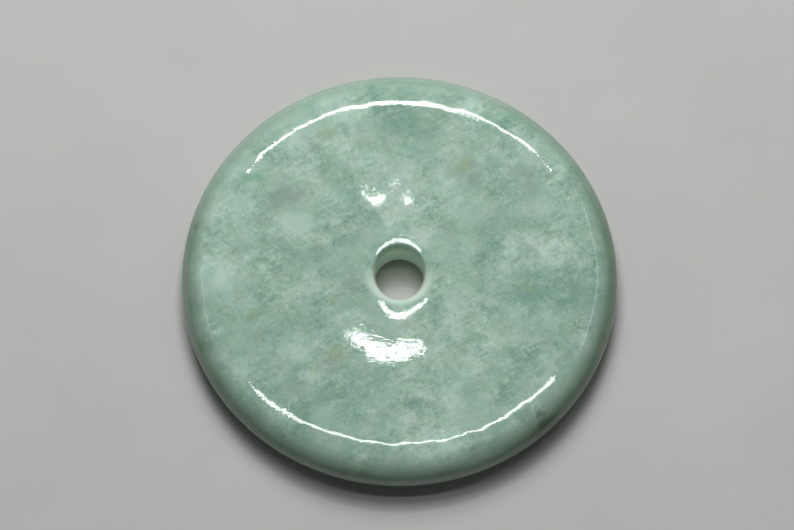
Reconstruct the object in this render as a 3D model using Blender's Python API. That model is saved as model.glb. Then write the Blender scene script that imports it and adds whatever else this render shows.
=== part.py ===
# A round jade disc pendant lying on its back: a flat disc turned about one axis,
# with a small bore through its middle for a cord, rounded lips and a shallow dish round the bore,
# and an edge that rolls off the face, breaks at a faint ridge and ends in a rounded rim.
# Both sides are alike. Metres, +Z up, origin at the middle of the underside.

import math

import bmesh
import bpy

# Driving sizes, in metres.
DISC_RADIUS = 0.0275
THICKNESS = 0.0057
BORE_RADIUS = 0.0030
BORE_STRAIGHT = 0.0006
LIP_REACH = 0.0011
DISH_RADIUS = 0.0062
DISH_DEPTH = 0.00017
RIDGE_INSET = 0.0026
SHOULDER_WIDTH = 0.0027
SHOULDER_DROP = 0.00033

# How much of the height under the ridge the rim keeps upright, from 0 to 1.
RIM_FULLNESS = 0.62

# Facets: round the disc, and along each curve of the profile.
SEGMENTS = 96
SHOULDER_STEPS = 3
EDGE_STEPS = 6
LIP_STEPS = 6
DISH_STEPS = 3

# Points of the turned profile that come closer than this are one point.
MERGE_DISTANCE = 0.00001

# The stone's pale bluish green, and its polish.
JADE_COLOUR = (0.30, 0.43, 0.355, 1.0)
JADE_ROUGHNESS = 0.2
JADE_METALLIC = 0.0


def clear_scene():
    for old in list(bpy.data.objects):
        bpy.data.objects.remove(old, do_unlink=True)


def corner_curve(start, corner, end, steps):
    # A conic arc that leaves start towards corner and reaches end from corner.
    # Its weight is the cosine of half the turn, so square legs give a quarter of
    # an ellipse and equal legs give an arc of a circle.
    turn = (
        math.atan2(end[1] - corner[1], end[0] - corner[0])
        - math.atan2(corner[1] - start[1], corner[0] - start[0])
    )
    weight = math.cos(turn / 2.0)
    points = []
    for i in range(steps + 1):
        t = i / steps
        a = (1.0 - t) ** 2
        b = 2.0 * weight * t * (1.0 - t)
        c = t ** 2
        total = a + b + c
        r = (a * start[0] + b * corner[0] + c * end[0]) / total
        z = (a * start[1] + b * corner[1] + c * end[1]) / total
        points.append((r, z))
    return points


def dished(point):
    # The point let down into the dish, whose floor is a parabola that starts level at
    # DISH_RADIUS and is DISH_DEPTH down where the lip begins. A point lower in the bore
    # moves less, in step with its height.
    r, z = point
    half = THICKNESS / 2.0
    inwards = (DISH_RADIUS - r) / (DISH_RADIUS - BORE_RADIUS - LIP_REACH)
    return (r, z * (1.0 - DISH_DEPTH * inwards ** 2 / half))


def upper_profile():
    # From the bore's straight stretch over the face to the rim's widest point,
    # as (radius, height above the middle of the thickness).
    half = THICKNESS / 2.0
    lip_end = BORE_RADIUS + LIP_REACH
    ridge_radius = DISC_RADIUS - RIDGE_INSET
    ridge_height = half - SHOULDER_DROP
    face_end = ridge_radius - SHOULDER_WIDTH

    lip = corner_curve(
        (BORE_RADIUS, BORE_STRAIGHT / 2.0),
        (BORE_RADIUS, half),
        (lip_end, half),
        LIP_STEPS,
    )
    dish_step = (DISH_RADIUS - lip_end) / DISH_STEPS
    dish = [(lip_end + dish_step * i, half) for i in range(1, DISH_STEPS + 1)]
    shoulder = corner_curve(
        (face_end, half),
        (face_end + SHOULDER_WIDTH / 2.0, half),
        (ridge_radius, ridge_height),
        SHOULDER_STEPS,
    )
    edge = corner_curve(
        (ridge_radius, ridge_height),
        (DISC_RADIUS, RIM_FULLNESS * ridge_height),
        (DISC_RADIUS, 0.0),
        EDGE_STEPS,
    )
    return [dished(point) for point in lip + dish] + shoulder + edge[1:]


def closed_profile():
    # Over the upper face, down the rim and back under the lower face to the bore.
    upper = upper_profile()
    lower = [(r, -z) for r, z in reversed(upper[:-1])]
    return upper + lower


def add_disc():
    mesh = bpy.data.meshes.new("jade_disc")
    outline = bmesh.new()
    verts = [outline.verts.new((r, 0.0, z + THICKNESS / 2.0)) for r, z in closed_profile()]
    for i, vert in enumerate(verts):
        outline.edges.new((vert, verts[(i + 1) % len(verts)]))
    outline.to_mesh(mesh)
    outline.free()

    disc = bpy.data.objects.new("jade_disc", mesh)
    bpy.context.scene.collection.objects.link(disc)
    turn = disc.modifiers.new("turn", "SCREW")
    turn.axis = "Z"
    turn.angle = 2.0 * math.pi
    turn.steps = SEGMENTS
    turn.render_steps = SEGMENTS
    turn.use_merge_vertices = True
    turn.merge_threshold = MERGE_DISTANCE
    turn.use_smooth_shade = True
    return disc


def jade_material():
    jade = bpy.data.materials.new("jade")
    jade.use_nodes = True
    shader = jade.node_tree.nodes["Principled BSDF"]
    shader.inputs["Base Color"].default_value = JADE_COLOUR
    shader.inputs["Roughness"].default_value = JADE_ROUGHNESS
    shader.inputs["Metallic"].default_value = JADE_METALLIC
    return jade


clear_scene()
disc = add_disc()
disc.data.materials.append(jade_material())
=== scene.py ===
import math

import bpy
import numpy as np
from mathutils import Matrix, Vector


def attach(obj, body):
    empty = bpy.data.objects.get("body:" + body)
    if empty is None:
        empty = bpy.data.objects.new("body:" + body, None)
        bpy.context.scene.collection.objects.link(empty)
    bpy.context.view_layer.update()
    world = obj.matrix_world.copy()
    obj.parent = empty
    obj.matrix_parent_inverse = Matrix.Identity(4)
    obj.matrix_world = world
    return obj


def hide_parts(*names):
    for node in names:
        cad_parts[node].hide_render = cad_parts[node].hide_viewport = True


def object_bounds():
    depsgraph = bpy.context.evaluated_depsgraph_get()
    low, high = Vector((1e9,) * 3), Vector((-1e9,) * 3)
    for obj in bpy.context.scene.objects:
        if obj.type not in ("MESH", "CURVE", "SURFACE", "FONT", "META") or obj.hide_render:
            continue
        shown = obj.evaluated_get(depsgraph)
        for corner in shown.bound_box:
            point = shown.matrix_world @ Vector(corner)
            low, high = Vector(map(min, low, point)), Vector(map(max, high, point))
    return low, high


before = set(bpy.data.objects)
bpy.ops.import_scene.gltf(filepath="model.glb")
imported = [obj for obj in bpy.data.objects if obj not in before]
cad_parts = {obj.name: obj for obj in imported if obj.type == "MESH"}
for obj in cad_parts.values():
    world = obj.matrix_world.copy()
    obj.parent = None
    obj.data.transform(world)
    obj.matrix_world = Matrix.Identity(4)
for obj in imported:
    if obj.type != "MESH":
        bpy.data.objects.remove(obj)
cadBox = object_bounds()

mm = 0.001  # lengths below are millimetres unless they say otherwise
discRadius = (cadBox[1].x - cadBox[0].x) / 2 / mm
thickness = (cadBox[1].z - cadBox[0].z) / mm

# How the picture is taken: where the camera stands and where the disc's middle falls in the frame.
camera = {
    "frameWidth": 794,
    "frameHeight": 530,
    "elevation": 69.4,  # degrees above the table
    "focalPixels": 5460.0,
    "sensor": 36.0,
    "discWidthPixels": 435.3,
    "discCentre": (399.5, 279.0),  # pixels from the frame's left and top
}

# What a carver would change on the disc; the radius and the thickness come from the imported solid.
discForm = {
    "boreRadius": 3.0,
    "boreStraight": 0.6,
    "lipReach": 1.1,
    "ridgeInset": 2.6,
    "shoulderWidth": 2.7,
    "shoulderDrop": 0.33,
    "rimFullness": 0.62,
    "columns": 600,
    "upperRows": {"lip": 14, "face": 70, "shoulder": 12, "edge": 22},
    "lowerRows": {"lip": 8, "face": 14, "shoulder": 8, "edge": 16},
    "crowding": 1.6,  # over 1 draws the face's rows together near the bore
}


def cornerCurve(start, corner, end, rows):
    # A conic through start and end whose tangents meet at corner: each point is the
    # weighted mean of the three, with weights (1-t)^2, 2wt(1-t) and t^2, and w is the
    # cosine of half the turn.
    start, corner, end = (np.array(p, float) for p in (start, corner, end))
    first, second = corner - start, end - corner
    turn = math.atan2(second[1], second[0]) - math.atan2(first[1], first[0])
    t = np.linspace(0.0, 1.0, rows + 1)[:, None]
    a, b, c = (1 - t) ** 2, 2 * math.cos(turn / 2) * t * (1 - t), t**2
    return (a * start + b * corner + c * end) / (a + b + c)


def halfProfile(form, rows):
    # Bore, lip, flat face, shoulder, ridge and rim as (radius, height over mid-thickness).
    half = thickness / 2
    bore = form["boreRadius"]
    lipEnd = bore + form["lipReach"]
    ridge = (discRadius - form["ridgeInset"], half - form["shoulderDrop"])
    faceEnd = ridge[0] - form["shoulderWidth"]
    lip = cornerCurve((bore, form["boreStraight"] / 2), (bore, half), (lipEnd, half), rows["lip"])
    t = np.linspace(0.0, 1.0, rows["face"] + 1)[1:-1] ** form["crowding"]
    face = np.stack([lipEnd + (faceEnd - lipEnd) * t, np.full_like(t, half)], 1)
    bend = (faceEnd + form["shoulderWidth"] / 2, half)
    shoulder = cornerCurve((faceEnd, half), bend, ridge, rows["shoulder"])
    bulge = (discRadius, form["rimFullness"] * ridge[1])
    edge = cornerCurve(ridge, bulge, (discRadius, 0.0), rows["edge"])
    return np.concatenate([lip, face, shoulder, edge[1:]])


def closedProfile(form):
    # The upper half outwards, then the lower half back in, as one loop.
    upper = halfProfile(form, form["upperRows"])
    lower = halfProfile(form, form["lowerRows"])[::-1] * (1, -1)
    return np.concatenate([upper, lower[1:]])


def turnedGrid(profile, columns):
    # x = r cos u, y = r sin u, z = h: the profile's rows by the turn's columns.
    u = np.linspace(0.0, 2 * math.pi, columns, endpoint=False)
    r, h = profile[:, :1], profile[:, 1:]
    return np.stack([r * np.cos(u), r * np.sin(u), np.broadcast_to(h, (len(profile), columns))], -1)


def closedGridFaces(rows, columns):
    # Quads between neighbouring rows and columns, closed both ways like a ring's skin.
    row, column = np.meshgrid(np.arange(rows), np.arange(columns), indexing="ij")
    nextRow, nextColumn = (row + 1) % rows, (column + 1) % columns
    first, second = row * columns, nextRow * columns
    corners = (second + column, second + nextColumn, first + nextColumn, first + column)
    return np.stack(corners, -1).reshape(-1, 4)


def meshFromGrid(name, points, faces):
    # A smooth mesh of the points, which are in millimetres, and of the quads between them.
    mesh = bpy.data.meshes.new(name)
    mesh.vertices.add(len(points))
    mesh.vertices.foreach_set("co", (points * mm).astype(np.float32).ravel())
    mesh.loops.add(faces.size)
    mesh.loops.foreach_set("vertex_index", faces.astype(np.int32).ravel())
    mesh.polygons.add(len(faces))
    mesh.polygons.foreach_set("loop_start", np.arange(0, faces.size, 4, dtype=np.int32))
    mesh.update(calc_edges=True)
    mesh.validate()
    mesh.shade_smooth()
    return mesh


def waves(points, seed, lengths, amount):
    # A smooth random field: the sum of sines along random directions, whose wavelengths run
    # between the two lengths, scaled so that it seldom goes beyond amount either way. Each use
    # has a seed of its own.
    pick = np.random.default_rng(seed)
    count = 18
    turn = pick.uniform(0, 2 * math.pi, count)
    lean = pick.uniform(-0.4, 0.4, count)
    length = np.exp(pick.uniform(*np.log(lengths), count))
    phase = pick.uniform(0, 2 * math.pi, count)
    wave = np.stack([np.cos(turn), np.sin(turn), lean], 1) * (2 * math.pi / length)[:, None]
    crest = 2.2 * math.sqrt(count)  # about as high as so many sines add up to
    return amount * np.sin(points @ wave.T + phase).sum(-1) / crest


def fadeBetween(value, low, high):
    # 0 below low, 1 above high, and the cubic 3t^2 - 2t^3 between.
    t = np.clip((value - low) / (high - low), 0, 1)
    return t * t * (3 - 2 * t)


# What the polisher's hand left: a chamfer round the bore, wide in front and narrow at the sides,
# a shoulder that wanders, and slight waves over the faces.
handwork = {
    # (azimuth in degrees, radius where the chamfer starts, how softly, degrees that it first leans
    # and degrees gained per millimetre inwards)
    "chamfer": [
        (-165, 5.0, 0.25, 5.0, 3.5), (-150, 5.3, 0.25, 5.5, 4.5), (-135, 5.8, 0.25, 5.5, 3.0),
        (-120, 6.4, 0.30, 5.3, 2.5), (-105, 6.95, 0.40, 5.1, 2.2), (-90, 7.05, 0.45, 5.2, 1.9),
        (-75, 6.85, 0.40, 5.1, 2.2), (-60, 6.45, 0.30, 5.0, 2.7), (-45, 6.2, 0.25, 5.0, 4.6),
        (-30, 5.8, 0.25, 5.0, 4.5), (-15, 5.3, 0.25, 5.0, 3.5), (0, 5.1, 0.25, 5.0, 3.0),
        (20, 4.8, 0.20, 5.5, 5.0), (40, 4.8, 0.20, 6.0, 4.2), (53, 4.8, 0.20, 6.1, 2.8),
        (65, 4.9, 0.20, 6.3, 1.6), (90, 4.9, 0.20, 6.4, 1.3), (115, 4.9, 0.20, 6.3, 1.6),
        (127, 4.8, 0.20, 6.1, 2.8), (140, 4.8, 0.20, 6.0, 4.2), (160, 4.8, 0.20, 5.5, 5.0),
        (180, 4.9, 0.25, 5.0, 3.0),
    ],
    "chamferBlur": 9.0,  # degrees over which neighbouring entries run together
    "chamferEdge": 0.3,  # over which its rougher polish sets in
    "dish": (6.2, 0.17),  # the underside's plainer hollow: its radius, and its depth at the lip
    "lipTuck": (0.62, 0.25, 0.05),  # how much tighter the lip is at the sides, behind and in front
    "fadeLength": 3.0,  # over which the lip's tuck and the shoulder's wander die out on the face
    "shoulderWander": 0.2,
    "wanderLengths": (3.0, 14.0),
    "broadWaves": 0.004,
    "broadLengths": (8.0, 18.0),
    "fineWaves": 0.0003,
    "fineLengths": (2.0, 4.5),
    "shoulderWaves": 0.006,
    "shoulderLengths": (1.6, 3.6),
}


def roundTheBore(azimuth, table, blur):
    # The table's values at each azimuth: their mean, each weighted by exp((cos d - 1) / blur^2),
    # where d is the angle between its azimuth and this one.
    places, values = np.radians([row[0] for row in table]), np.array([row[1:] for row in table])
    weight = np.exp((np.cos(azimuth[..., None] - places) - 1) / math.radians(blur) ** 2)
    return np.moveaxis(weight @ values / weight.sum(-1)[..., None], -1, 0)


def intoChamfer(grid, work):
    # How far each point lies inside the chamfer's start, and the table's other values there.
    r = np.hypot(grid[..., 0], grid[..., 1])
    azimuth = np.arctan2(grid[0, :, 1], grid[0, :, 0])
    start, soft, lean, gain = roundTheBore(azimuth, work["chamfer"], work["chamferBlur"])
    return np.maximum(start - r, 0), soft, np.radians(lean), np.radians(gain)


def handFinished(grid, form, work):
    # Moves each point outwards by the shoulder's wander less the lip's tuck, then inwards by the
    # depth of the waves below their crest and of the chamfer, which leans by a(1 - exp(-t/s)) + gt
    # at t inside its start, so it lies a(t - s(1 - exp(-t/s))) + gt^2/2 deep. The underside has
    # a dish instead, a parabola. Nothing leaves the solid's box.
    x, y, z = np.moveaxis(grid, -1, 0)
    r = np.hypot(x, y)
    fade = work["fadeLength"]
    faceEnd = discRadius - form["ridgeInset"] - form["shoulderWidth"]
    onRim = fadeBetween(r, discRadius - form["ridgeInset"] * 0.6, discRadius)
    onShoulder = fadeBetween(r, faceEnd - fade, faceEnd) * (1 - onRim)
    shift = waves(grid, 3, work["wanderLengths"], work["shoulderWander"]) * onShoulder
    lipEnd = form["boreRadius"] + form["lipReach"]
    onLip = np.clip((r - form["boreRadius"]) / form["lipReach"], 0, 1)
    onLip = onLip * (1 - fadeBetween(r, lipEnd, lipEnd + fade))
    atSides, behind, inFront = work["lipTuck"]
    tuck = atSides * (x / r) ** 2 + np.where(y > 0, behind, inFront) * (y / r) ** 2
    shift = shift - tuck * onLip
    moved = np.stack([x * (1 + shift / r), y * (1 + shift / r), z], -1)

    t, soft, lean, gain = intoChamfer(moved, work)
    depth = -lean * (t - soft * (1 - np.exp(-t / soft))) - gain * t**2 / 2
    dishRadius, dishDepth = work["dish"]
    inwards = np.maximum(dishRadius - np.hypot(moved[..., 0], moved[..., 1]), 0)
    inDish = inwards / (dishRadius - lipEnd)
    depth = np.where(z > 0, depth, -dishDepth * inDish**2)
    depth = depth + waves(grid, 5, work["broadLengths"], work["broadWaves"]) - work["broadWaves"]
    depth = depth + waves(grid, 7, work["fineLengths"], work["fineWaves"]) - work["fineWaves"]
    bumps = waves(grid, 11, work["shoulderLengths"], work["shoulderWaves"]) - work["shoulderWaves"]
    depth = depth + bumps * onShoulder
    side = np.sign(z) * fadeBetween(np.abs(z) / (thickness / 2), 0.2, 0.8)  # 0 halfway up
    moved[..., 2] += np.minimum(depth, 0) * side
    return moved


# Stains and clouds in the stone by their kind: (x, y, half length, half width, turn, strength)
# on the upper face. Every stain goes stainReach down into the stone, and waves of the lengths in
# stainWaves push its outline aside by up to stainPush.
stainReach = 3.2
stainWaves = (1.6, 5.0)
stainPush = 0.9
stains = {
    "green": [
        (-18.3, 12.8, 1.9, 0.9, 8, 1.0), (-19.6, 12.3, 0.7, 0.5, 0, 0.8),
        (-3.6, 16.6, 1.0, 0.8, 0, 0.6), (0.9, 17.0, 1.2, 1.0, 70, 0.7),
        (2.3, 20.7, 1.1, 0.8, 10, 0.6), (11.2, 19.3, 1.5, 1.1, 20, 0.55),
        (-14.0, -1.4, 1.1, 0.8, 0, 0.6), (10.2, -9.0, 0.9, 0.7, 0, 0.7),
        (-18.2, 1.1, 1.6, 0.8, 0, 0.5), (-13.3, -6.2, 2.4, 1.8, 0, 0.35),
        (-19.0, -16.6, 1.2, 0.9, 30, 0.5), (8.4, -0.6, 1.0, 0.8, 0, 0.35),
    ],
    "olive": [
        (8.1, 14.4, 1.7, 0.8, 35, 1.0), (7.0, 13.2, 0.8, 0.5, 20, 0.7),
        (-11.2, 11.3, 0.8, 1.5, 0, 0.7), (-9.0, 18.7, 1.5, 0.8, 50, 0.7),
        (-16.0, 12.2, 0.9, 0.7, 0, 0.5), (-10.6, 4.0, 0.8, 1.1, 0, 0.7),
        (-1.2, 7.9, 0.8, 0.7, 0, 0.6), (-1.2, 16.3, 1.2, 0.8, 0, 0.4),
        (0.4, 13.0, 0.7, 0.6, 0, 0.5), (-21.5, 2.5, 0.8, 0.7, 0, 0.5),
        (-20.3, -2.9, 1.0, 1.5, 20, 0.6), (-21.6, -4.9, 0.8, 0.6, 0, 0.6),
        (-18.2, -5.6, 1.9, 0.8, 25, 0.6), (-15.4, -4.9, 1.4, 0.5, 0, 0.4),
        (-17.6, -8.3, 0.8, 0.9, 0, 0.6), (-8.4, -3.9, 1.1, 0.7, 30, 0.7),
        (-11.2, -8.5, 1.0, 0.6, 0, 0.5), (-7.8, -11.0, 1.8, 0.9, 20, 0.9),
        (-10.9, -13.2, 0.8, 0.8, 0, 0.7), (0.9, -7.2, 1.0, 0.9, 0, 0.8),
        (7.8, -10.6, 0.6, 1.0, -30, 0.7), (16.3, -1.9, 0.8, 0.6, 0, 0.6),
        (18.5, 4.2, 0.7, 0.6, 0, 0.7), (6.8, 19.4, 0.9, 0.7, 30, 0.6),
        (-25.4, 6.6, 1.0, 1.0, 0, 0.5), (-2.9, 18.4, 1.5, 0.8, 40, 0.4),
        (3.9, -3.4, 0.7, 0.6, 0, 0.4),
    ],
    "deep": [
        (-7.0, 19.0, 1.1, 0.8, -40, 1.0), (-0.8, 19.6, 1.8, 1.3, 0, 0.9),
        (2.8, 18.9, 3.0, 1.3, 15, 0.6), (-2.4, 18.1, 0.8, 0.6, 0, 0.8),
        (11.9, 14.0, 1.7, 1.4, 50, 0.8), (13.9, 11.9, 1.4, 1.2, 0, 0.7),
        (10.0, 11.4, 1.5, 0.9, 0, 0.6), (-8.3, -8.3, 1.9, 1.7, 0, 0.7),
        (-13.6, -13.0, 1.0, 0.7, 0, 0.8), (-17.2, -12.6, 1.5, 1.6, 0, 0.5),
        (1.9, -18.0, 1.6, 1.0, 0, 0.8), (3.7, -18.8, 1.0, 0.7, 0, 0.6),
        (8.5, -16.1, 1.3, 1.5, 0, 0.6), (12.6, -17.6, 0.9, 0.9, 0, 0.5),
        (16.4, -3.1, 2.2, 1.1, 15, 0.7), (15.6, 3.0, 1.4, 1.0, -30, 0.6),
        (-10.0, 2.4, 3.0, 1.2, 10, 0.7), (-7.4, 4.2, 2.2, 0.9, 10, 0.7),
        (-13.6, 2.7, 1.8, 1.1, 0, 0.5), (-16.2, -16.3, 2.4, 1.4, -30, 0.5),
        (13.9, -7.3, 1.8, 1.2, 0, 0.4), (9.0, -5.2, 2.2, 1.6, 0, 0.35),
        (-23.8, -4.6, 1.0, 1.4, 0, 0.5), (23.0, 4.4, 0.9, 1.5, 0, 0.4),
        (5.0, -14.6, 2.4, 1.2, 10, 0.35), (-16.5, 14.8, 1.3, 0.9, 0, 0.4),
        (14.5, -13.0, 2.0, 1.2, 0, 0.4), (-5.5, -16.4, 2.2, 1.8, 0, 0.35),
        (24.5, -7.5, 1.5, 2.6, 0, 0.5), (12.0, -20.3, 1.8, 0.9, 25, 0.4),
    ],
    "grey": [
        (-14.2, 9.8, 2.4, 1.9, 20, 1.0), (-17.4, 7.1, 1.9, 0.9, 10, 0.6),
        (-10.6, 17.0, 1.1, 0.9, 0, 0.7), (9.4, 13.2, 1.7, 1.3, 0, 0.7),
        (16.2, 12.8, 1.4, 2.6, 20, 0.7), (17.0, 10.8, 1.6, 1.0, 0, 0.5),
        (6.3, 5.0, 1.7, 1.6, 15, 0.35), (-6.0, -1.6, 2.4, 2.1, 0, 0.6),
        (10.0, -14.4, 2.6, 0.9, 10, 0.3), (-12.8, -15.2, 1.8, 1.5, 0, 0.45),
        (-8.9, -12.7, 2.0, 1.0, 0, 0.5), (18.0, -8.9, 2.4, 0.9, 0, 0.4),
        (17.5, -20.6, 1.9, 2.2, -30, 1.0), (15.9, -18.9, 0.9, 0.7, 0, 0.7),
        (22.9, -14.2, 0.9, 0.9, 0, 0.8), (-25.6, -3.5, 1.0, 2.4, 0, 0.6),
        (-24.4, -9.2, 1.1, 1.6, 0, 0.6), (26.3, 5.5, 0.6, 0.8, 0, 0.7),
        (11.9, 8.2, 1.5, 0.5, 10, 0.4), (-18.6, -6.7, 1.4, 1.0, 0, 0.4),
        (6.6, -21.0, 0.8, 0.6, 0, 0.4),
    ],
    # The dark kind lies all on the rim: a streak at the near right and patches along its left and
    # right edges.
    "dark": [
        (18.7, -20.4, 2.3, 0.9, 40, 1.0), (17.3, -18.7, 0.9, 0.5, 80, 0.7),
        (20.4, -21.4, 1.2, 1.0, 30, 0.7), (23.3, -14.6, 0.7, 0.6, 60, 0.6),
        (26.3, 5.6, 0.6, 0.6, 0, 0.6), (-25.8, 6.4, 0.5, 0.6, 0, 0.5),
        (-26.0, -4.2, 0.8, 2.2, 0, 0.4), (-24.7, -9.6, 0.7, 1.4, 20, 0.35),
        (25.6, -8.4, 0.7, 2.6, 10, 0.35),
    ],
    "pale": [
        (-13.2, 6.6, 2.9, 2.0, -8, 1.0), (-10.8, 6.6, 1.6, 1.0, -20, 0.6),
        (-19.8, 9.0, 3.0, 2.2, 20, 0.7), (-13.6, 17.3, 2.0, 1.4, 30, 0.7),
        (-22.8, -0.6, 1.5, 2.2, 0, 0.7), (-13.0, -10.6, 2.6, 1.9, 0, 0.7),
        (-10.6, -1.6, 2.0, 2.4, 0, 0.5), (-20.3, -13.4, 1.7, 2.0, 0, 0.6),
        (16.6, 16.8, 2.0, 1.3, -40, 0.7), (7.4, 9.1, 0.9, 0.8, 0, 0.7),
        (17.9, 8.2, 2.2, 2.0, 0, 0.6), (20.9, -3.2, 1.4, 1.1, 0, 0.6),
        (18.4, -6.2, 2.3, 1.4, 0, 0.6), (18.5, -12.0, 1.4, 1.5, 0, 0.6),
        (18.0, -14.4, 1.3, 0.8, 30, 0.7), (6.8, -18.2, 1.2, 1.6, 0, 0.6),
        (-9.6, -18.7, 2.2, 1.0, 0, 0.5), (12.8, -9.4, 1.4, 0.8, 0, 0.5),
        (9.0, 3.0, 1.8, 1.6, 0, 0.4), (11.3, 7.3, 0.5, 1.8, 0, 0.5), (22.8, 1.2, 1.2, 1.9, 0, 0.5),
        (-6.5, 15.3, 2.2, 1.2, 0, 0.4), (1.5, 17.9, 2.0, 0.9, 0, 0.4),
        (-1.5, -21.2, 3.2, 0.8, 0, 0.5), (-8.4, 6.9, 1.2, 0.8, 30, 0.5),
        (12.9, -12.4, 2.2, 1.0, 0, 0.4), (-18.6, 4.8, 1.4, 1.2, 0, 0.3),
        (8.5, -20.3, 1.8, 0.8, 15, 0.4), (-4.8, -6.0, 1.8, 1.2, 0, 0.5),
        (13.0, 2.0, 2.2, 1.2, 0, 0.35),
    ],
}


def stainField(points, spots, seed):
    # The strongest of the spots at each point. A spot is the bell exp(-d^2), where d is the
    # distance from its middle in half lengths and half widths, after waves have pushed the point
    # aside.
    push = [waves(points, seed + i, stainWaves, stainPush) for i in range(3)]
    pushed = points + np.stack(push, -1)
    field = np.zeros(points.shape[:-1])
    for x, y, halfLength, halfWidth, turn, strength in spots:
        c, s = math.cos(math.radians(turn)), math.sin(math.radians(turn))
        dx, dy = pushed[..., 0] - x, pushed[..., 1] - y
        along = (c * dx + s * dy) / halfLength
        across = (c * dy - s * dx) / halfWidth
        down = (thickness / 2 - pushed[..., 2]) / stainReach
        field = np.maximum(field, strength * np.exp(-(along**2 + across**2 + down**2)))
    return field


# Broad changes of tone over the upper face: (x, y, reach, amount).
washes = [
    (-13.8, 15.6, 6.5, 0.10), (-19.5, 8.5, 4.5, 0.06), (19.9, -1.2, 6.0, -0.24),
    (-13.8, -14.3, 5.5, -0.20), (-9.4, 0.1, 5.5, 0.04), (9.5, 0.1, 5.5, 0.04),
    (0.0, -16.7, 5.0, 0.02), (14.0, -14.3, 5.0, -0.09), (0.5, 17.0, 4.5, -0.06),
    (0.0, 0.0, 40.0, -0.02), (-8.5, 18.5, 2.5, 0.10), (9.0, -13.0, 3.5, 0.10),
    (6.0, 5.0, 3.0, 0.10),
]


def washField(points, spots):
    # The sum of bells, each amount times exp(-d^2) of the distance d from its middle in reaches.
    field = np.zeros(points.shape[:-1])
    for x, y, reach, amount in spots:
        apart = points - (x, y, thickness / 2)
        field = field + amount * np.exp(-(apart**2).sum(-1) / reach**2)
    return field


def undersideSpots(seed):
    # A few spots scattered over the hidden face, within the rim.
    pick = np.random.default_rng(seed)
    count = 7
    r = discRadius * np.sqrt(pick.uniform(0.06, 0.85, count))
    a = pick.uniform(0, 2 * math.pi, count)
    halfLength, halfWidth = pick.uniform(0.9, 2.4, (count, 2)).T
    strength = pick.uniform(0.3, 0.8, count)
    turn = pick.uniform(0, 180, count)
    return list(zip(r * np.cos(a), r * np.sin(a), halfLength, halfWidth, turn, strength))


def addField(mesh, name, values):
    # One value for each vertex, which the material reads by its name.
    layer = mesh.attributes.new(name, "FLOAT", "POINT")
    layer.data.foreach_set("value", values.astype(np.float32).ravel())


def makeDisc():
    # The turned and hand-finished disc, with the strength of each kind of stain, the wash and the
    # chamfer's place at every vertex.
    profile = closedProfile(discForm)
    grid = turnedGrid(profile, discForm["columns"])
    shaped = handFinished(grid, discForm, handwork)
    points = shaped.reshape(-1, 3)
    faces = closedGridFaces(len(profile), discForm["columns"])
    mesh = meshFromGrid("jade_pendant", points + (0, 0, thickness / 2), faces)
    flipped = points * (1, 1, -1)
    for seed, (kind, spots) in enumerate(stains.items()):
        above = stainField(points, spots, 20 + 5 * seed)
        below = stainField(flipped, undersideSpots(90 + seed), 60 + 5 * seed)
        addField(mesh, kind, np.maximum(above, below))
    addField(mesh, "wash", washField(points, washes))
    onChamfer = np.clip(intoChamfer(shaped, handwork)[0] / handwork["chamferEdge"], 0, 1)
    addField(mesh, "chamfer", onChamfer * (shaped[..., 2] > 0))
    disc = bpy.data.objects.new("jade_pendant", mesh)
    bpy.context.scene.collection.objects.link(disc)
    return disc


class Wire:
    # One output socket. + - and * on it, either way round, add Math nodes.
    def __init__(self, socket):
        self.socket = socket

    def maths(self, operation, *others):
        node = self.socket.id_data.nodes.new("ShaderNodeMath")
        node.operation = operation
        for entry, value in zip(node.inputs, others):
            plug(entry, value)
        return Wire(node.outputs[0])

    def __add__(self, other):
        return self.maths("ADD", self, other)

    def __radd__(self, other):
        return self.maths("ADD", other, self)

    def __sub__(self, other):
        return self.maths("SUBTRACT", self, other)

    def __rsub__(self, other):
        return self.maths("SUBTRACT", other, self)

    def __mul__(self, other):
        return self.maths("MULTIPLY", self, other)

    def __rmul__(self, other):
        return self.maths("MULTIPLY", other, self)


def plug(entry, value):
    # Links a wire to a socket, or sets the socket's own value.
    if isinstance(value, Wire):
        entry.id_data.links.new(value.socket, entry)
    else:
        entry.default_value = value


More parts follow.
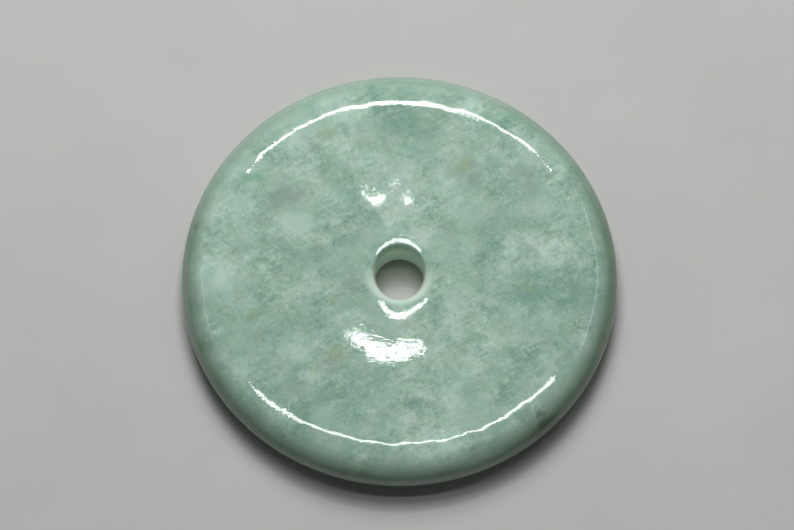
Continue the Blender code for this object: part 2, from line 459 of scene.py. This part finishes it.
class Shader:
    # A material whose nodes are added one call at a time.
    def __init__(self, name):
        self.material = bpy.data.materials.new(name)
        self.material.use_nodes = True
        self.tree = self.material.node_tree
        self.tree.nodes.clear()

    def node(self, kind, settings=None, inputs=None, output=0):
        # Adds a node: first its settings, and a ramp's stops, then its sockets' values and links.
        node = self.tree.nodes.new("ShaderNode" + kind)
        settings = dict(settings or {})
        stops = settings.pop("stops", None)
        for name, value in settings.items():
            setattr(node, name, value)
        if stops:
            ramp = node.color_ramp.elements
            while len(ramp) < len(stops):
                ramp.new(0.5)
            for element, (position, colour) in zip(ramp, stops):
                element.position = position
                element.color = (*colour, 1)
        for name, value in (inputs or {}).items():
            plug(node.inputs[name], value)
        return Wire(node.outputs[output]) if node.outputs else None

    def position(self):
        # The point in the object's own millimetres.
        place = self.node("TexCoord", output="Object")
        return self.node("VectorMath", {"operation": "SCALE"}, {0: place, "Scale": 1 / mm})

    def noise(self, place, length, detail=1.0, rough=0.5):
        # Smooth noise around 0.5, whose swells are about length across.
        values = {"Vector": place, "Scale": 1 / length, "Detail": detail, "Roughness": rough}
        return self.node("TexNoise", None, values)

    def field(self, name):
        # The values that the mesh carries under the name.
        return self.node("Attribute", {"attribute_name": name}, None, "Fac")

    def crossing(self, noise, width):
        # 1 along the lines where the noise crosses its mean, 0 beyond width of it.
        level = noise - 0.5
        return self.step(level.maths("ABSOLUTE", level), width, 0.0)

    def step(self, value, low, high):
        # 0 below low and 1 above high, smooth between.
        values = {"Value": value, "From Min": low, "From Max": high}
        return self.node("MapRange", {"interpolation_type": "SMOOTHSTEP"}, values)

    def mix(self, factor, first, second, blend="MIX"):
        # Two colours by a factor; 0, 6 and 7 are the Mix node's factor and colour sockets.
        settings = {"data_type": "RGBA", "blend_type": blend}
        return self.node("Mix", settings, {0: factor, 6: first, 7: second}, 2)

    def turned(self, place, centre, turn, size):
        # The point seen from centre, turned back by turn and measured in the sizes.
        moved = self.node("VectorMath", {"operation": "SUBTRACT"}, {0: place, 1: centre})
        values = {"Vector": moved, "Rotation": (0, 0, -math.radians(turn))}
        back = self.node("Mapping", None, values)
        return self.node("VectorMath", {"operation": "DIVIDE"}, {0: back, 1: size})

    def spot(self, place, centre, turn, size):
        # 1 at centre, falling to 0 one size away from it.
        inside = self.turned(place, centre, turn, size)
        away = self.node("VectorMath", {"operation": "LENGTH"}, {0: inside}, "Value")
        return self.step(away, 1.0, 0.3)

    def surface(self, inputs):
        shader = self.node("BsdfPrincipled", None, inputs)
        self.node("OutputMaterial", None, {"Surface": shader})
        return self.material


# The stone's colours, which are linear, with painted light on the lip and painted shade on the rim,
# and its polish.
jadeLook = {
    # Slow swirls: how closely they lie, their detail and how far they push the patterns aside.
    "swirl": (0.7, 3.0, 0.6),
    "dark": (0.245, 0.425, 0.335),
    "middle": (0.415, 0.600, 0.490),
    "light": (0.585, 0.775, 0.660),
    "stainColours": {
        "green": (0.260, 0.510, 0.330),
        "olive": (0.370, 0.450, 0.250),
        "deep": (0.230, 0.430, 0.345),
        "grey": (0.290, 0.400, 0.335),
        "dark": (0.110, 0.180, 0.130),
        "pale": (0.580, 0.770, 0.660),
    },
    "stainStrength": {
        "green": 0.75, "olive": 0.45, "deep": 0.5, "grey": 0.55, "dark": 0.75, "pale": 0.6,
    },
    "stainBreakUp": (0.7, 0.15, 1.7),  # the length of the holes in a stain, and its least and most
    "stainEdges": (0.08, 0.8),
    # Flecks: how many to a millimetre, and for each colour which cells have one, how far across
    # the cell it fades, and how strongly it shows.
    "fleckCount": 1.25,
    "flecks": {"deep": ((0.86, 0.94), (0.42, 0.12), 0.4), "pale": ((0.1, 0.04), (0.5, 0.2), 0.35)},
    # How far apart the clouds of each size lie, and how strongly each shows.
    "cloudLengths": (9.0, 4.0, 1.7, 0.75, 0.34, 0.16),
    "cloudShares": (0.60, 0.52, 0.40, 0.30, 0.28, 0.44),
    # How the clouds' contrast changes from place to place: over what length, and least and most.
    "patchiness": (6.0, 0.5, 1.35),
    "patchEdges": (0.35, 0.65),
    "toneStops": (0.2, 0.5, 0.8),  # the tones at which the stone is dark, middle and light
    # Turns of hue from place to place: over what lengths, and between which two tints.
    "hueTurns": (
        ((5.0, 1.8, 0.7), (0.95, 1.006, 1.0), (1.05, 0.994, 1.0)),
        ((4.0, 1.4, 0.6), (1.0, 1.0, 0.965), (1.0, 1.0, 1.035)),
    ),
    "hueEdges": (0.3, 0.7),
    # Pale threads: how far apart, how wide as a share of that, and how strongly they show.
    "threads": ((2.1, 0.022, 0.45), (1.1, 0.03, 0.3)),
    "threadEdges": (0.52, 0.66),  # the noise at which threads set in and are full
    # Wisps: the way they run in degrees, their length, their width and how strongly they show.
    "wisps": ((28, 3.2, 0.5, 0.32), (-40, 2.4, 0.4, 0.22), (75, 1.6, 0.25, 0.14)),
    # Painted light on the lip in front of the bore, where it leans towards the back lamps: its
    # colour, how much shows, the radii over which it comes in, and the same from back to front.
    "lip": (0.74, 0.88, 0.78),
    "lipPaintedLightShare": 0.9,
    "lipPaintedLightRadii": (4.8, 3.9),
    "lipPaintedLightForward": (1.0, -2.5),
    # The bore's wall, paler partly for its duller drilled finish and partly as painted light for
    # the light the stone lets into the bore, and the heights over which it turns into the colour of
    # its foot.
    "bore": (0.78, 0.95, 0.81),
    "boreFoot": (0.74, 0.86, 0.63),
    "boreShare": 0.8,
    "boreRadii": (3.5, 3.1),
    "footHeights": (3.2, 0.8),
    # Painted shade on the rim, which gets darker outwards: its colour, how much of it shows behind,
    # how much more in front, at the right and at the left, and between which places these come in.
    "rim": (0.08, 0.13, 0.06),
    "rimPaintedShadeStart": 24.8,
    "rimPaintedShade": (0.3, 0.28, 0.2, 0.06),
    "rimPaintedShadeForward": (18.0, 3.0),
    "rimPaintedShadeAside": (8.0, 20.0),
    # How much of the clouds' contrast is lost on the rim, and the radii over which it goes.
    "rimCalm": 0.55,
    "calmRadii": (24.4, 26.2),
    "refraction": 1.66,
    "glossRoughness": 0.006,
    "sheenRoughness": 0.3,
    "sheenShare": 0.4,
    "scatterShare": 0.7,
    "scatterReach": (0.85, 1.0, 0.9),
    "scatterDepth": 1.6,
    # The polished skin's unevenness: the length of its swells and their height, over all,
    # and more of it on the chamfer and on the shoulder. Streaks: the way they run in degrees,
    # their length, their width and their height.
    "ripples": ((1.3, 0.0005), (0.45, 0.0004)),
    "streaks": ((-6, 1.2, 0.28, 0.0005), (40, 1.1, 0.3, 0.0002)),
    "chamferRipple": (0.45, 0.0055),
    "shoulderRipple": (0.5, 0.006),
    "shoulderRadii": (21.8, 22.8),
    # The calm spot behind the bore, which has no streaks, only fine scratches.
    "scratches": {
        "middle": (-1.0, 9.8),
        "reach": (7.0, 4.6, 3.0),
        "spacing": 1.6,
        "width": 0.02,
        "depth": 0.00014,
    },
    "darkMark": (0.10, 0.16, 0.12),
    "lightMark": (0.72, 0.82, 0.76),
    "markShare": 0.6,
    "markReach": 2.0,  # how deep a mark goes into the stone
}

# Hairlines, ticks and pits on the upper face: (x, y, half length, half width, turn, strength),
# and the dark ones' depth.
darkMarks = [
    (-8.2, 3.6, 0.55, 0.22, 80, 0.8, 0.02), (-7.0, 4.7, 0.6, 0.16, 15, 0.5, 0.0),
    (-10.4, 1.4, 0.4, 0.14, 5, 0.7, 0.0), (-9.9, 3.1, 0.35, 0.2, 0, 0.5, 0.0),
    (4.9, 0.8, 0.45, 0.13, 80, 0.6, 0.0), (-6.2, -2.4, 0.16, 0.14, 0, 0.8, 0.0),
    (-7.7, -3.3, 0.18, 0.15, 0, 0.6, 0.0), (14.3, -1.9, 0.3, 0.18, 30, 0.6, 0.01),
    (-17.1, -9.3, 0.4, 0.3, 0, 0.5, 0.0), (19.8, 13.2, 0.2, 0.18, 0, 0.7, 0.04),
    (22.7, 7.1, 0.26, 0.2, 60, 0.8, 0.05), (5.6, -21.4, 0.3, 0.2, 0, 0.5, 0.01),
    (11.0, 21.0, 0.22, 0.16, 0, 0.4, 0.05), (-8.1, 21.3, 0.3, 0.1, 60, 0.3, 0.03),
    (5.0, 5.9, 2.6, 0.12, 22, 0.4, 0.0), (16.9, -18.0, 0.5, 0.2, 80, 0.5, 0.0),
    (22.7, -14.2, 0.4, 0.3, 60, 0.6, 0.0),
]
lightMarks = [
    (-12.9, -17.2, 0.42, 0.12, 80, 1.0), (-22.5, -3.9, 0.25, 0.2, 0, 0.7),
    (-11.5, -15.8, 0.3, 0.12, 60, 0.5), (-21.7, -10.7, 0.9, 0.1, 80, 0.5),
    (7.0, -8.3, 0.25, 0.12, 40, 0.4),
]


def stirred(stone, place, look):
    # The point pushed aside by slow swirls, so that no pattern runs straight.
    scale, detail, reach = look["swirl"]
    values = {"Vector": place, "Scale": scale, "Detail": detail}
    swirl = stone.node("TexNoise", None, values, "Color")
    values = {0: swirl, 1: (reach, reach, reach), 2: place}
    return stone.node("VectorMath", {"operation": "MULTIPLY_ADD"}, values)


def cloudedColour(stone, push, radius, look):
    # Clouds and wisps of many sizes and the washes add up to one tone, which a ramp colours.
    # Then come the turns of hue, and threads along the lines where a noise crosses its mean.
    reach, least, most = look["patchiness"]
    patchy = least + (most - least) * stone.step(stone.noise(push, reach, 2.0), *look["patchEdges"])
    clouds = 0.0
    for length, share in zip(look["cloudLengths"], look["cloudShares"]):
        clouds = clouds + (stone.noise(push, length) - 0.5) * share
    for turn, length, width, share in look["wisps"]:
        along = stone.turned(push, (0, 0, 0), turn, (length, width, length))
        clouds = clouds + (stone.noise(along, 1.0) - 0.5) * share
    calm = 1 - look["rimCalm"] * stone.step(radius, *look["calmRadii"])
    tone = 0.5 + stone.field("wash") + clouds * patchy * calm
    shades = (look["dark"], look["middle"], look["light"])
    colour = stone.node("ValToRGB", {"stops": list(zip(look["toneStops"], shades))}, {"Fac": tone})
    for lengths, first, second in look["hueTurns"]:
        hue = 0.0
        for length in lengths:
            hue = hue + stone.noise(push, length) * (1 / len(lengths))
        tint = stone.mix(stone.step(hue, *look["hueEdges"]), (*first, 1), (*second, 1))
        colour = stone.mix(1.0, colour, tint, "MULTIPLY")
    for spacing, width, share in look["threads"]:
        line = stone.crossing(stone.noise(push, spacing, 3.0, 0.55), width)
        here = stone.step(stone.noise(push, spacing * 1.7, 2.0), *look["threadEdges"])
        colour = stone.mix(line * here * share, colour, (*look["light"], 1))
    return colour


def stainedColour(stone, push, colour, look):
    # Each kind of stain over the last, with holes broken into it by a noise, then small round
    # flecks in a few of the cells of a Voronoi pattern.
    length, least, most = look["stainBreakUp"]
    broken = stone.noise(push, length, 4.0, 0.7)
    for kind, tint in look["stainColours"].items():
        mask = stone.step(stone.field(kind) * (least + most * broken), *look["stainEdges"])
        colour = stone.mix(mask * look["stainStrength"][kind], colour, (*tint, 1))

    cells = {"Vector": push, "Scale": look["fleckCount"], "Randomness": 1.0}
    away = stone.node("TexVoronoi", None, cells, "Distance")
    chosen = stone.node("TexVoronoi", None, cells, "Color")
    pick = stone.node("SeparateColor", None, {"Color": chosen}, 0)
    for kind, (cellEdges, fade, share) in look["flecks"].items():
        fleck = stone.step(away, *fade) * stone.step(pick, *cellEdges)
        colour = stone.mix(fleck * share, colour, (*look["stainColours"][kind], 1))
    return colour


def paintedLipLightBoreAndRimShade(stone, place, radius, colour, look):
    # Painted light makes the lip paler in front of the bore. The wall is paler, partly its own
    # duller colour and partly painted light, and it turns yellower towards the foot. Painted shade
    # makes the rim darker outwards, most in front and at the right.
    across, deep, high = (stone.node("SeparateXYZ", None, {"Vector": place}, i) for i in range(3))
    # Painted light: the lip in front of the bore is paler where it faces the back lamps.
    lip = stone.step(radius, *look["lipPaintedLightRadii"]) * stone.step(deep, *look["lipPaintedLightForward"])
    colour = stone.mix(lip * look["lipPaintedLightShare"], colour, (*look["lip"], 1))
    # The wall's paler colour is partly the drilled wall's own and partly painted light.
    foot = stone.step(high, *look["footHeights"])
    wall = stone.mix(foot, (*look["bore"], 1), (*look["boreFoot"], 1))
    colour = stone.mix(stone.step(radius, *look["boreRadii"]) * look["boreShare"], colour, wall)
    behind, front, right, left = look["rimPaintedShade"]
    near, far = look["rimPaintedShadeAside"]
    # Painted shade: the rim darkens outwards, least behind where the lamps light it, more in front
    # and at the sides.
    paintedShade = behind + front * stone.step(deep, *look["rimPaintedShadeForward"])
    paintedShade = paintedShade + right * stone.step(across, near, far) + left * stone.step(across, -near, -far)
    onRim = stone.step(radius, look["rimPaintedShadeStart"], discRadius)
    return stone.mix(onRim * paintedShade, colour, (*look["rim"], 1))


def polishedHeight(stone, place, push, radius, look):
    # How far the skin stands out: ripples, streaks that die out at the calm spot, more ripples on
    # the chamfer and the shoulder, less the scratches, which lie where a noise crosses its mean.
    height = 0.0
    for length, rise in look["ripples"]:
        height = height + stone.noise(place, length) * rise
    cuts = look["scratches"]
    calmSpot = stone.spot(place, (*cuts["middle"], thickness), 0, cuts["reach"])
    for turn, length, width, rise in look["streaks"]:
        streak = stone.noise(stone.turned(push, (0, 0, 0), turn, (length, width, length)), 1.0)
        height = height + streak * rise * (1 - calmSpot)
    length, rise = look["chamferRipple"]
    height = height + stone.noise(place, length) * rise * stone.field("chamfer")
    length, rise = look["shoulderRipple"]
    onShoulder = stone.step(radius, *look["shoulderRadii"])
    height = height + stone.noise(place, length) * rise * onShoulder
    scratch = stone.crossing(stone.noise(push, cuts["spacing"]), cuts["width"])
    return height - scratch * calmSpot * cuts["depth"]


def markSpot(stone, push, mark, look):
    # A mark's spot, moved by half the swirls' reach, which is how far they push on average.
    x, y, halfLength, halfWidth, turn = mark[:5]
    drift = look["swirl"][2] / 2
    size = (halfLength, halfWidth, look["markReach"])
    return stone.spot(push, (x + drift, y + drift, thickness), turn, size)


def jadeMaterial(look):
    stone = Shader("polished_jade")
    place = stone.position()
    push = stirred(stone, place, look)
    flat = stone.node("VectorMath", {"operation": "MULTIPLY"}, {0: place, 1: (1, 1, 0)})
    radius = stone.node("VectorMath", {"operation": "LENGTH"}, {0: flat}, "Value")
    colour = cloudedColour(stone, push, radius, look)
    colour = stainedColour(stone, push, colour, look)
    # Painted light on the lip and the bore's wall, and painted shade on the rim.
    colour = paintedLipLightBoreAndRimShade(stone, place, radius, colour, look)
    height = polishedHeight(stone, place, push, radius, look)
    for mark in darkMarks:
        strength, depth = mark[5:]
        spot = markSpot(stone, push, mark, look)
        colour = stone.mix(spot * strength * look["markShare"], colour, (*look["darkMark"], 1))
        if depth:
            height = height - spot * depth
    for mark in lightMarks:
        spot = markSpot(stone, push, mark, look)
        colour = stone.mix(spot * mark[5] * look["markShare"], colour, (*look["lightMark"], 1))
    normal = stone.node("Bump", None, {"Strength": 1.0, "Distance": mm, "Height": height})

    return stone.surface({
        "Base Color": colour,
        "Roughness": look["glossRoughness"],
        "IOR": look["refraction"],
        "Normal": normal,
        "Coat Weight": look["sheenShare"],
        "Coat Roughness": look["sheenRoughness"],
        "Subsurface Weight": look["scatterShare"],
        "Subsurface Radius": look["scatterReach"],
        "Subsurface Scale": look["scatterDepth"] * mm,
    })


floorLook = {
    "halfWidth": 600.0,
    "drop": 0.05,  # how far it lies under the disc
    "colour": (0.60, 0.60, 0.58),
    "roughness": 0.9,
    "grain": 30.0,
    "grainTones": (0.97, 1.03),
}


def makeFloor(look):
    half, low = look["halfWidth"] * mm, -look["drop"] * mm
    mesh = bpy.data.meshes.new("floor")
    corners = [(-half, -half, low), (half, -half, low), (half, half, low), (-half, half, low)]
    mesh.from_pydata(corners, [], [(0, 1, 2, 3)])
    floor = bpy.data.objects.new("floor", mesh)
    bpy.context.scene.collection.objects.link(floor)
    paper = Shader("pale_paper")
    grain = paper.noise(paper.position(), look["grain"], 4.0, 0.6)
    darker, lighter = (tuple(c * k for c in look["colour"]) for k in look["grainTones"])
    colour = paper.node("ValToRGB", {"stops": [(0.3, darker), (0.7, lighter)]}, {"Fac": grain})
    mesh.materials.append(paper.surface({"Base Color": colour, "Roughness": look["roughness"]}))
    return floor


elevation = math.radians(camera["elevation"])
viewRight = Vector((1, 0, 0))
viewUp = Vector((0, math.sin(elevation), math.cos(elevation)))
viewAhead = Vector((0, math.cos(elevation), -math.sin(elevation)))
pixelsPerMetre = camera["discWidthPixels"] / (2 * discRadius * mm)
cameraDistance = camera["focalPixels"] / pixelsPerMetre
offRight = (camera["discCentre"][0] - camera["frameWidth"] / 2) / pixelsPerMetre
offDown = (camera["discCentre"][1] - camera["frameHeight"] / 2) / pixelsPerMetre
discMiddle = Vector((0, 0, thickness / 2 * mm))
cameraPlace = discMiddle - viewAhead * cameraDistance - viewRight * offRight + viewUp * offDown


def makeCamera():
    data = bpy.data.cameras.new("camera")
    data.sensor_width = camera["sensor"]
    data.lens = camera["focalPixels"] * camera["sensor"] / camera["frameWidth"]
    data.clip_start = 0.05  # metres
    view = bpy.data.objects.new("camera", data)
    turn = Matrix((viewRight, viewUp, -viewAhead)).transposed().to_4x4()
    view.matrix_world = Matrix.Translation(cameraPlace) @ turn
    bpy.context.scene.collection.objects.link(view)
    bpy.context.scene.camera = view


# Each lamp is a flat panel, placed by where its reflection falls on the upper face: where that
# starts and ends as (x, y, lean), how wide the panel is across it, its radiance and its form. Lean
# is how many degrees the surface there leans away from the middle. A hidden panel only lights
# the stone and leaves no reflection.
lamps = {
    "softBox": ((-21.0, 12.2, 9.0), (16.4, 17.5, 8.0), 300.0, 6.3, "hidden"),
    "backPanel": ((-19.0, 14.6, 7.8), (18.2, 16.0, 7.8), 30.0, 12.0, "straight"),
    "backSpot": ((-2.7, -6.2, -6.0), (2.1, -6.15, -6.0), 30.0, 11.0, "round"),
    "frontPanelLeft": ((-18.2, -16.0, 8.9), (0.0, -22.9, 4.3), 24.0, 11.0, "straight"),
    "frontPanelRight": ((0.0, -22.9, 4.3), (19.2, -15.0, 9.3), 24.0, 11.0, "straight"),
    "leftPanel": ((-24.6, 0.0, 17.0), (-22.8, -10.5, 17.0), 40.0, 1.6, "straight"),
    "rightPanel": ((22.0, 11.0, 17.0), (21.8, -11.0, 17.0), 40.0, 1.6, "straight"),
    "patchLeft": ((-6.6, -8.8, 0.0), (-2.9, -9.1, 0.0), 2.8, 11.0, "round"),
    "patchLow": ((-4.4, -10.4, 0.0), (1.7, -10.8, 0.0), 3.4, 11.0, "round"),
    "patchHigh": ((-4.3, -9.5, 0.0), (-1.1, -9.9, 0.0), 1.8, 11.0, "round"),
    "patchRight": ((-0.6, -9.9, 0.0), (3.1, -9.9, 0.0), 2.0, 11.0, "round"),
    "glintLeft": ((-3.6, 9.7, 0.0), (-2.0, 10.1, 0.0), 1.7, 13.0, "round"),
    "glintTail": ((-4.5, 10.8, 0.0), (-3.1, 9.6, 0.0), 0.6, 11.0, "round"),
    "glintRight": ((0.4, 9.9, 0.0), (1.6, 9.5, 0.0), 1.2, 13.0, "round"),
    "glintTop": ((-1.6, 11.2, 0.0), (-0.3, 11.6, 0.0), 0.5, 5.0, "round"),
}
lampDistance = 0.5  # metres from the disc
worldStrength = 0.05


def lampPoint(x, y, lean):
    # Where the view of a face point goes after a mirror there, lampDistance away: the ray d turns
    # into d - 2(d.n)n, and the mirror's normal n leans outwards from straight up.
    point = Vector((x * mm, y * mm, thickness * mm))
    out = Vector((x, y, 0)).normalized() * math.sin(math.radians(lean))
    normal = Vector((out.x, out.y, math.cos(math.radians(lean))))
    ray = (point - cameraPlace).normalized()
    return point + (ray - 2 * ray.dot(normal) * normal) * lampDistance


def makeLamp(name, first, last, across, radiance, form):
    start, end = lampPoint(*first), lampPoint(*last)
    middle = (start + end) / 2
    away = (middle - discMiddle).normalized()
    along = end - start
    along = (along - along.dot(away) * away).normalized()
    data = bpy.data.lights.new(name, "AREA")
    data.shape = "ELLIPSE" if form == "round" else "RECTANGLE"
    data.size, data.size_y = (end - start).length, across * mm
    data.energy = radiance * math.pi * data.size * data.size_y
    lamp = bpy.data.objects.new(name, data)
    turn = Matrix((along, away.cross(along), away)).transposed().to_4x4()
    lamp.matrix_world = Matrix.Translation(middle) @ turn
    lamp.visible_glossy = form != "hidden"
    bpy.context.scene.collection.objects.link(lamp)


def makeWorld(strength):
    world = bpy.data.worlds.new("studio")
    world.use_nodes = True
    background = world.node_tree.nodes["Background"]
    background.inputs["Color"].default_value = (1, 1, 1, 1)
    background.inputs["Strength"].default_value = strength
    bpy.context.scene.world = world


disc = makeDisc()
disc.data.materials.append(jadeMaterial(jadeLook))
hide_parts("jade_disc")
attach(disc, "root")
print("disc turned, stained and polished:", len(disc.data.polygons) * 2, "triangles")

makeFloor(floorLook)
makeCamera()
for name, settings in lamps.items():
    makeLamp(name, *settings)
makeWorld(worldStrength)
bpy.context.scene.view_settings.view_transform = "Standard"
print("floor, camera and", len(lamps), "lamps placed")
